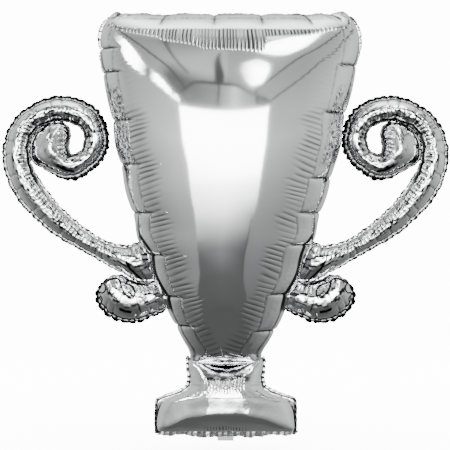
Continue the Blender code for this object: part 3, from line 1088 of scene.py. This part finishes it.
def build_studio():
    """The white world, and the dome of sheets that the foil mirrors."""
    world = bpy.data.worlds.new("studio")
    bpy.context.scene.world = world
    world.use_nodes = True
    back = world.node_tree.nodes["Background"]
    back.inputs["Color"].default_value = PURE_WHITE
    back.inputs["Strength"].default_value = WHITE
    glow = glow_material()
    azimuths, elevations = np.meshgrid(np.arange(-180, 181, DOME_STEP), np.arange(-90, 91, DOME_STEP))
    lit_sheet("walls", azimuths, elevations, wall_light(azimuths, elevations), DOME_RADIUS, glow)
    wide_sheet("front_wall", FRONT_WALL, 3, SHEET_RADIUS, glow)
    tall_sheet("over_window", WALL_OVER_WINDOW, SHEET_RADIUS, glow)
    tall_sheet("long_lamp", LONG_LAMP, SHEET_RADIUS, glow)
    wide_sheet("soft_box_low", SOFT_BOX_LOW, 0, SHEET_RADIUS, glow)
    wide_sheet("soft_box_high", SOFT_BOX_HIGH, 0, SHEET_RADIUS, glow)
    wide_sheet("wedge", DARK_WEDGE, 0, WEDGE_RADIUS, glow)
    for number, (width, light, line) in enumerate(DARK_LINES):
        dark_line(f"line_{number}", width, light, line, LINE_RADIUS, glow)


def build_floor():
    """A plain pale floor under the balloon, lit as white as the room."""
    bpy.ops.mesh.primitive_circle_add(vertices=64, radius=FLOOR_RADIUS, fill_type="NGON",
                                      location=(0, 0, FLOOR_HEIGHT))
    made = bpy.context.object
    made.name = "stage_floor"
    made.visible_glossy = False
    made.data.materials.append(Nodes("pale_floor").finished({
        "Base Color": FLOOR_COLOUR, "Roughness": 0.9,
        "Emission Color": PURE_WHITE, "Emission Strength": 2.0}))


def build_camera():
    """The photo's camera: level, and straight in front of the balloon."""
    camera = bpy.data.cameras.new("camera")
    camera.sensor_width = SENSOR_WIDTH
    camera.lens = SENSOR_WIDTH * CAMERA_DISTANCE / VIEW_WIDTH
    made = bpy.data.objects.new("camera", camera)
    made.location = (CAMERA_X, -CAMERA_DISTANCE, CAMERA_HEIGHT)
    made.rotation_euler = (np.pi / 2, 0, 0)
    bpy.context.scene.collection.objects.link(made)
    bpy.context.scene.camera = made


def heights_to_places(heights, film, side):
    """Places along a side's seam that lie at these heights, in millimetres."""
    seam = TURNS[side](film)[0]
    return [float(np.interp(-z * MM, -seam[:, 2], distances(seam))) for z in heights]


def looks_of(shade, crinkle, side_folds=(0, 0), end_folds=(0, 0)):
    """What the foil's material reads at each point of a film."""
    words = "shade", "crinkle", "side_turn", "side_depth", "end_turn", "end_depth"
    looks = shade, crinkle, *side_folds, *end_folds
    return {word: look + 0 * shade for word, look in zip(words, looks)}


def together(*parts):
    """Heights and shades of several kinds of pucker, added up."""
    return sum(part[0] for part in parts), sum(part[1] for part in parts)


def cup_puckers(film, seed):
    """Heights and looks of the cup's film: its lobes, creases and fine folds."""
    left = heights_to_places(CUP_LEFT_CREASES, film, "outer")
    right = heights_to_places(CUP_RIGHT_CREASES, film, "inner")
    rim = film[0]
    top = [float(np.interp(x * MM, rim[:, 0], distances(rim))) for x in CUP_TOP_CREASES]
    height, shade = together(
        lobes(film, "outer", left, 3 * MM, 24 * MM, 1.8 * MM, 36 * MM),
        lobes(film, "inner", right, 3 * MM, 24 * MM, 1.8 * MM, 36 * MM),
        lobes(film, "start", top, 2.5 * MM, 26 * MM, 1.0 * MM, 20 * MM, 0.6),
        start_line(film, "outer", left, LEFT_FOLDS_BEGIN, 0.3 * MM, seed + 6),
        start_line(film, "inner", right, RIGHT_FOLDS_BEGIN, 0.3 * MM, seed + 7),
        start_line(film, "start", top, (7 * MM, 7 * MM), 0.1 * MM, seed + 8),
        *(seam_line(film, side, 2 * MM, 0.5, seed + 9) for side in ("outer", "inner", "start")),
        neck_shade(film, 9 * MM, 13 * MM),
    )
    size = SIDE_FOLD_LENGTH, SIDE_FOLD_PITCH
    side_turn, side_depth = deeper(
        hatch(film, "outer", left, LEFT_FOLDS_BEGIN, *size, seed, FOLD_RISE),
        hatch(film, "inner", right, RIGHT_FOLDS_BEGIN, *size, seed + 10, FOLD_RISE))
    level = film[..., 2]
    side_folds = side_turn, side_depth * (0.7 - 0.65 * ramp(level, 503 * MM, 522 * MM))
    turn, depth = hatch(film, "start", (), (RIM_BAND, RIM_BAND), 60 * MM, 5.3 * MM, seed + 20)
    _, down = seam_places(film, "start")
    places, lengths = zip(*RIM_FOLDS)
    end = RIM_BAND + np.interp(film[..., 0], np.array(places) * MM, np.array(lengths) * MM)
    zone = ramp(down, RIM_BAND - MM, RIM_BAND + MM) * fall(down, end - 3 * MM, end + 2 * MM)
    _, left_in = seam_places(film, "outer")
    _, right_in = seam_places(film, "inner")
    near = np.minimum(along_side(left_in, "outer"), along_side(right_in, "inner"))
    textured = band(level, TEXTURED_BAND)
    # Painted shade greys the rim's band of fine folds
    shade = shade + 0.3 * zone * ramp(near, 10 * MM, 30 * MM)
    strip = fall(near, 14 * MM, 20 * MM)
    # Painted shade: dark specks on the cup's textured sides stand for broken reflections
    shade_specks = ramp(dimples(film, 3 * MM, 3 * MM, 1.0, seed + 30), 0.1, 0.6)
    shade = shade + 0.45 * textured * strip * shade_specks
    # Painted shade: a black crease beside the handles' roots
    shade = shade + band(level, ROOT_BAND) * fall(near, 1 * MM, 3.5 * MM)
    rim_folds = turn, np.minimum(1.9 * depth, 1.2) * zone
    return height, looks_of(shade, (0.25 + textured) * strip, side_folds, rim_folds)


def tube_puckers(film, seed, fold_shade_lines):
    """Heights and looks of a scroll's or a curl's film."""
    source = np.random.default_rng(4)
    parts = []
    for edge, pitch, swell, crease_shade, seam_line_shade in TUBE_EDGES:
        along = distances(TURNS[edge](film)[0])
        places = np.arange(along[0] + pitch, along[-1] - pitch / 2, pitch)
        places = places + source.uniform(-0.3, 0.3, len(places)) * pitch
        # Painted shade in this edge's creases and along its seam
        parts.append(lobes(film, edge, places, swell, 9 * MM, 0.6 * MM, 18 * MM, crease_shade))
        share = along / along[-1]
        wide = (2 + 3 * ramp(share, 0.4, 0.46)) * MM if edge == "inner" else 2.5 * MM
        parts.append(seam_line(film, edge, wide, seam_line_shade, seed))
    folds = hatch(film, "inner", (), (4 * MM, 5 * MM), 16 * MM, 6 * MM, seed)
    height, shade = together(*parts)
    across = np.linspace(0, 1, film.shape[1])
    rough = ramp(across, 0.25, 0.42)
    ball = ramp(np.linspace(0, 1, len(film)), 0.86, 0.92)[:, None]
    height = height + rough * (1 - ball) * dimples(film, 9 * MM, 5 * MM, 0.4 * MM, seed)
    height = height + ball * dimples(film, 20 * MM, 14 * MM, 1.6 * MM, seed + 1)
    # Painted shade: dark flecks that stand for broken reflections along the tube
    shade = shade + 0.8 * (1 - 0.7 * ball) * shade_flecks(film, 6 * MM, 2 * MM, 0.4, 0.68, seed + 2)
    # Painted shade: a black crease at the handle's root
    _, away = seam_places(film, "start")
    shade = shade + fall(away, 2 * MM, 6 * MM)
    # Painted shade of the folds in the tables
    shade = np.maximum(shade, painted_fold_shade(film, fold_shade_lines))
    return height, looks_of(shade, 0.04 + 0.25 * rough, folds)


def base_puckers(film, seed):
    """Heights and looks of the film of the base and its neck."""
    height, shade = together(
        lobes(film, "end", (), 1.0 * MM, 10 * MM, 0, 14 * MM),
        seam_line(film, "outer", 2.5 * MM, 1.0, seed),
        seam_line(film, "inner", 2.5 * MM, 1.0, seed),
        seam_line(film, "end", 1.5 * MM, 0.3, seed),
        neck_shade(film, 9 * MM, 16 * MM),
    )
    height = height + dimples(film, 14 * MM, 14 * MM, 0.4 * MM, seed)
    turn, depth = deeper(hatch(film, "end", (), (3 * MM, 4 * MM), 8 * MM, 5 * MM, seed),
                         hatch(film, "start", (), (15 * MM, 17 * MM), 26 * MM, 5 * MM, seed + 4))
    away, level = np.abs(film[..., 0]), film[..., 2]
    middle = fall(away, 22 * MM, 38 * MM)
    # Painted shade under the neck, with darker streaks for its folds
    under = band(level, SHADE_BAND) * fall(away, 30 * MM, 44 * MM)
    shade_streaks = ramp(dimples(film, 3.5 * MM, 12 * MM, 1.0, seed + 9), 0.05, 0.5)
    shade = shade + under * (0.25 + 0.35 * shade_streaks)
    crinkle = 0.1 + 0.3 * middle * (level > 65 * MM)
    return height, looks_of(shade, crinkle, end_folds=(turn, depth * middle))


def build_chamber(name, film, pucker, border, material, *more):
    """The chamber's front and back foils, from one blown film."""
    for word, seed in (("front", 1), ("back", 51)):
        height, looks = pucker(film, seed, *more)
        moved = pushed(film, height)
        film_object(f"{name}_{word}_foil", moved, looks, border, word == "back", material)


def dressed_nodes(foil, valve):
    """Gives the CAD nodes that still show, those of the tail, their materials."""
    for name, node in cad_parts.items():
        if not node.hide_render:
            node.data.materials.clear()
            node.data.materials.append(valve if name == "valve_sleeve" else foil)


def main():
    build_camera()
    build_studio()
    build_floor()
    foil, valve = foil_material(), valve_material()
    cup = even_sided(blown_film(stack_seams(CUP_ROWS), *SOLVED_GRID["cup"]))
    cup = resample(lowered_lip(within_seam(cup)), *FINE_GRID["cup"])
    build_chamber("cup", cup, cup_puckers, CUP_BORDER, foil)
    base = even_sided(blown_film(stack_seams(BASE_ROWS), *SOLVED_GRID["base"]))
    base = settled_base(within_outline(resample(within_seam(base), *FINE_GRID["base"])))
    build_chamber("base", base, base_puckers, BASE_BORDER, foil)
    scroll = resample(blown_film(tube_seams(SCROLL_ROWS), *SOLVED_GRID["scroll"]), *FINE_GRID["scroll"])
    curl = resample(blown_film(tube_seams(CURL_ROWS), *SOLVED_GRID["curl"]), *FINE_GRID["curl"])
    for word, side in (("left", -1), ("right", 1)):
        for part, film, border, folds in (("scroll", scroll, SCROLL_BORDER, SCROLL_FOLD_SHADE),
                                          ("curl", curl, CURL_BORDER, CURL_FOLD_SHADE)):
            film = seated(film * [-side, 1, 1], cup, side)
            build_chamber(f"{word}_{part}", film, tube_puckers, border, foil, folds)
    dressed_nodes(foil, valve)


main()
